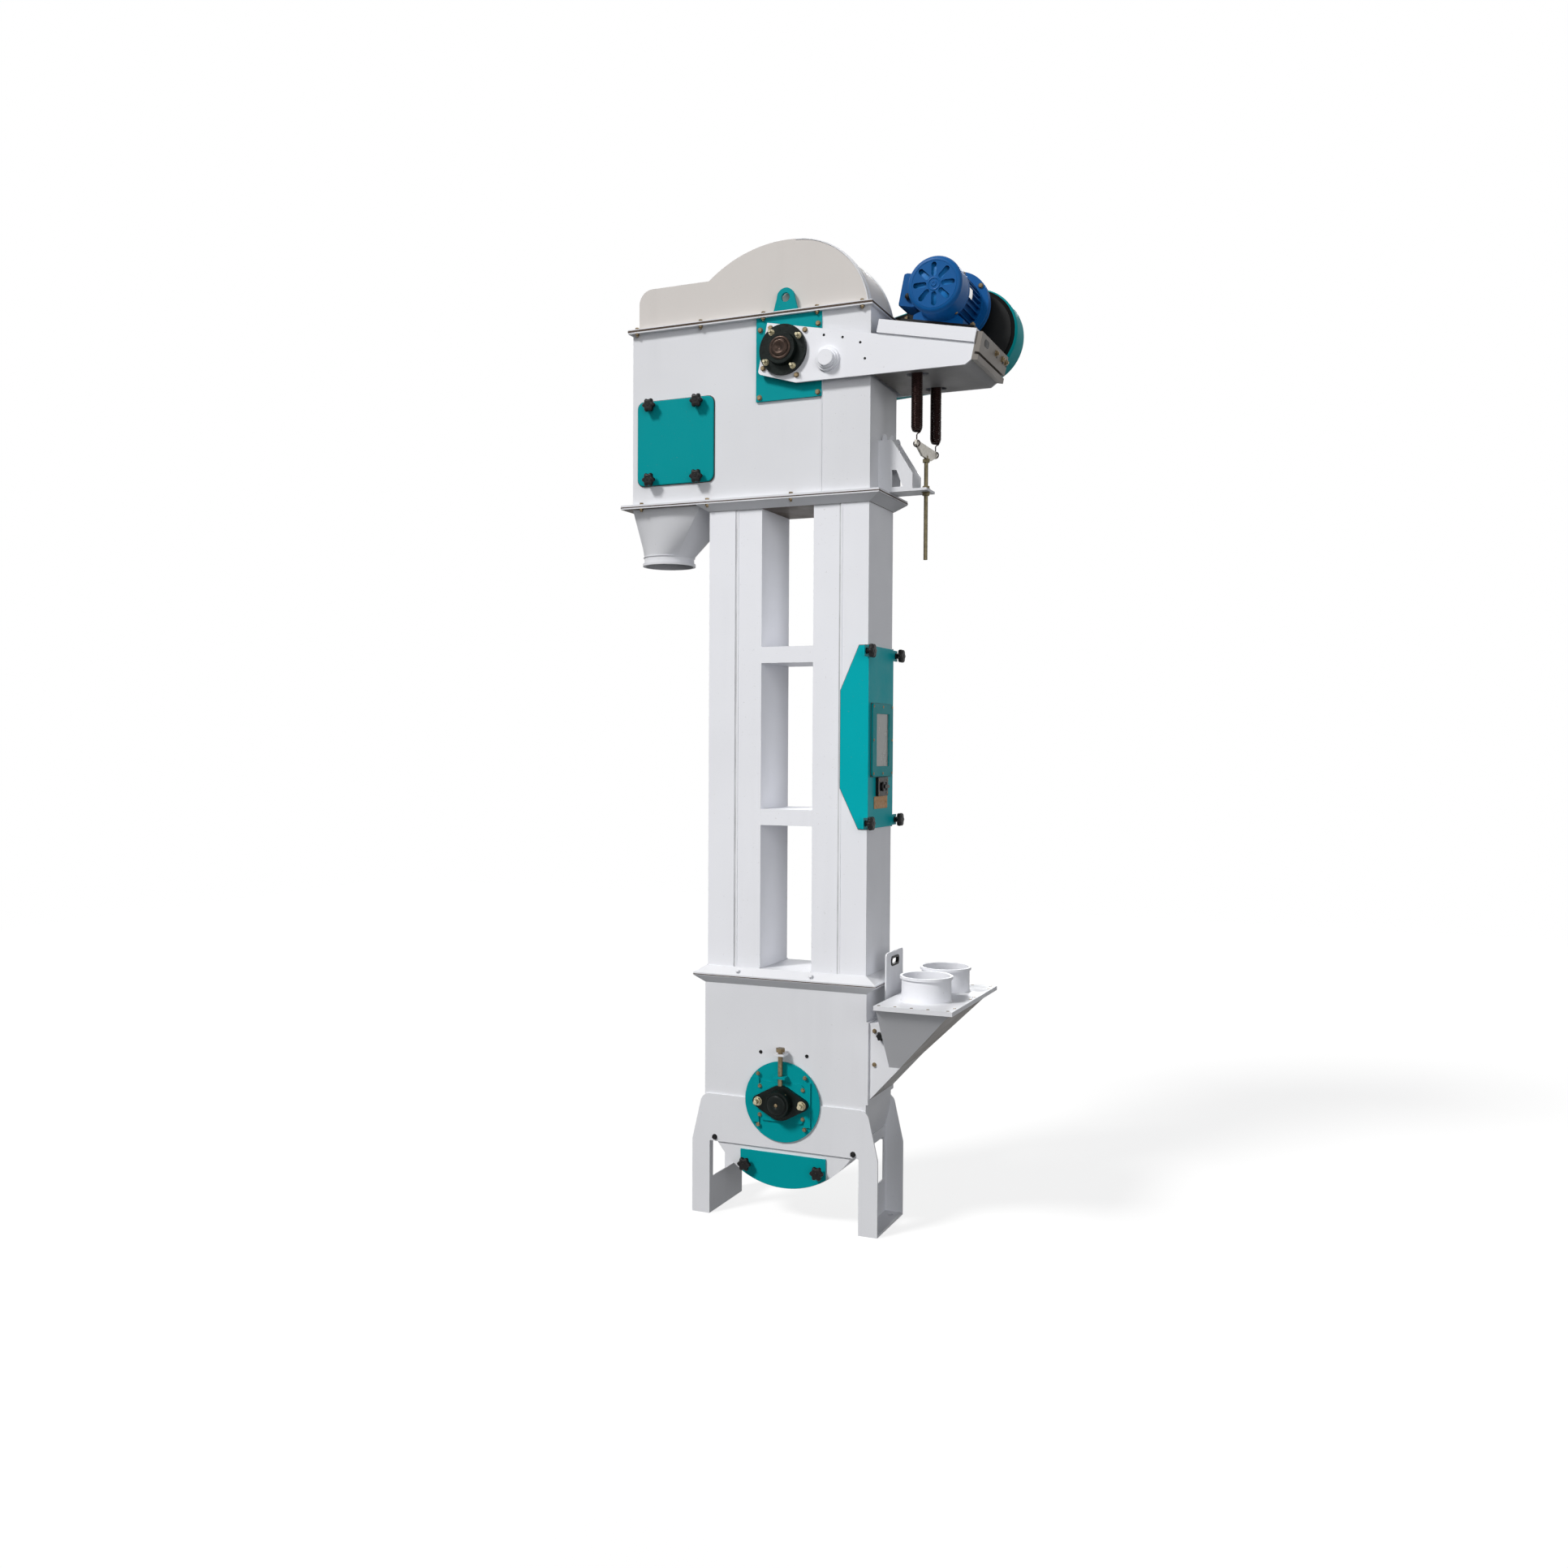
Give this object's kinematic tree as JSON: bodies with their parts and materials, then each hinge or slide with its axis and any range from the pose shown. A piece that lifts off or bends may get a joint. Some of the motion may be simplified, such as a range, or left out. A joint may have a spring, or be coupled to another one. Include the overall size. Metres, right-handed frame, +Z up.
{
  "type": "bucket elevator",
  "caption": "Bucket elevator with a boot on a stand, a hopper, two trunk legs, a domed head and a sprung motor base with a belt guard.",
  "frame": {"origin": "middle of the stand's anchor pattern, at floor level", "axes": "+Z up, +X from the discharge spout towards the motor and inlet side, +Y towards the belt guard"},
  "size_m": [1.314, 0.551, 3.269],
  "materials": {
    "casing_white": "satin",
    "machine_teal": "satin",
    "motor_blue": "gloss",
    "bearing_black": "satin",
    "knob_black": "matte",
    "guard_black": "satin",
    "rail_grey": "satin",
    "shaft_steel": "machined",
    "spring_steel": "oiled",
    "zinc_steel": "plated",
    "belt_rubber": "matte",
    "sight_glass": "clear",
    "latch_black": "matte"
  },
  "bodies": {
    "machine": {"boot_casing": "casing_white", "boot_cover": "casing_white", "stand_plates": "casing_white", "stand_sides": "casing_white", "takeup_discs": "machine_teal", "boot_bearings": "bearing_black", "takeup_screws": "zinc_steel", "cleanout_doors": "machine_teal", "inlet_chute": "casing_white", "inlet_hopper": "casing_white", "hopper_top": "casing_white", "inlet_collars": "casing_white", "left_trunk": "casing_white", "right_trunk": "casing_white", "trunk_ties": "casing_white", "leg_cover": "machine_teal", "sight_frame": "machine_teal", "sight_glass": "sight_glass", "cover_latch": "latch_black", "head_base": "casing_white", "head_top_flange": "casing_white", "head_casing": "casing_white", "head_hood": "casing_white", "hood_flange": "casing_white", "discharge_spout": "casing_white", "head_door": "machine_teal", "bearing_plates": "machine_teal", "lifting_lugs": "machine_teal", "head_bearings": "bearing_black", "drive_arms": "casing_white", "drive_base": "casing_white", "motor_platform": "casing_white", "end_rail": "rail_grey", "slide_base": "guard_black", "motor_body": "motor_blue", "fan_cover": "motor_blue", "terminal_box": "motor_blue", "guard_back": "guard_black", "belt_guard": "machine_teal", "tension_springs": "spring_steel", "tension_rod": "zinc_steel", "spring_bracket": "casing_white", "bucket_belt": "belt_rubber", "head_shaft": "shaft_steel", "boot_shaft": "shaft_steel", "star_knobs": "knob_black"},
    "gate": {"feed_gate": "casing_white"}
  },
  "joints": [
    {"name": "feed_gate_slide", "type": "slide", "parent": "machine", "child": "gate", "axis": [0, 0, 1], "range_m": [-0.15, 0.035]}
  ]
}
